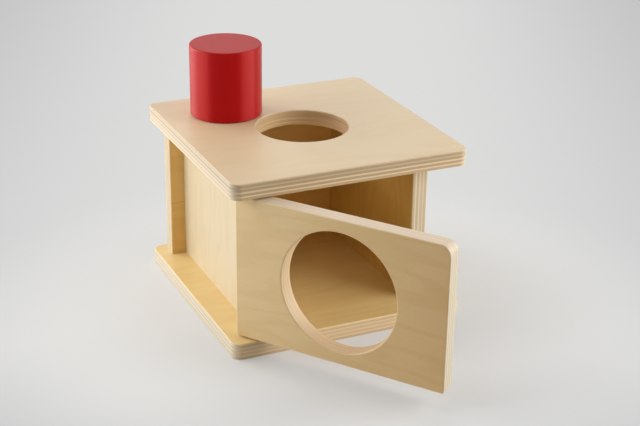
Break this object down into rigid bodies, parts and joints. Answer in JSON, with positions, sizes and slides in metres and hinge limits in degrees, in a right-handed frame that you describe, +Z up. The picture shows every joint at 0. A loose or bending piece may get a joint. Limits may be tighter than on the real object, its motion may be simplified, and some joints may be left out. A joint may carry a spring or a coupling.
{
  "type": "object permanence box",
  "caption": "Plywood toy box with a round hole in its top, a side-hinged door with a large round opening, and a loose red cylinder to drop through the top and take out at the door.",
  "frame": {"origin": "centre of the base plate's underside, where the box stands", "axes": "+Z up, the door faces -Y, and the door's hinge is on the -X side"},
  "size_m": [0.2, 0.3284, 0.207],
  "materials": {
    "birch_plywood": "satin clear lacquer",
    "red_painted_wood": "satin water-based paint",
    "beech_dowel": "bare wood",
    "steel_pin": "bright drawn steel"
  },
  "bodies": {
    "box": {"base_plate": "birch_plywood", "top_plate": "birch_plywood", "left_wall": "birch_plywood", "right_wall": "birch_plywood", "back_wall": "birch_plywood", "base_dowels": "beech_dowel", "top_dowels": "beech_dowel", "corner_dowels": "beech_dowel"},
    "door": {"door": "birch_plywood", "lower_pivot_pin": "steel_pin", "upper_pivot_pin": "steel_pin"},
    "cylinder": {"loose_cylinder": "red_painted_wood"}
  },
  "joints": [
    {"name": "door_hinge", "type": "hinge", "parent": "box", "child": "door", "pos_m": [-0.0835, -0.08525, 0.0735], "axis": [0, 0, -1], "range_deg": [-54, 211]},
    {"name": "cylinder_lift", "type": "slide", "parent": "box", "child": "cylinder", "axis": [0, 0, 1], "range_m": [0, 0.12]}
  ]
}
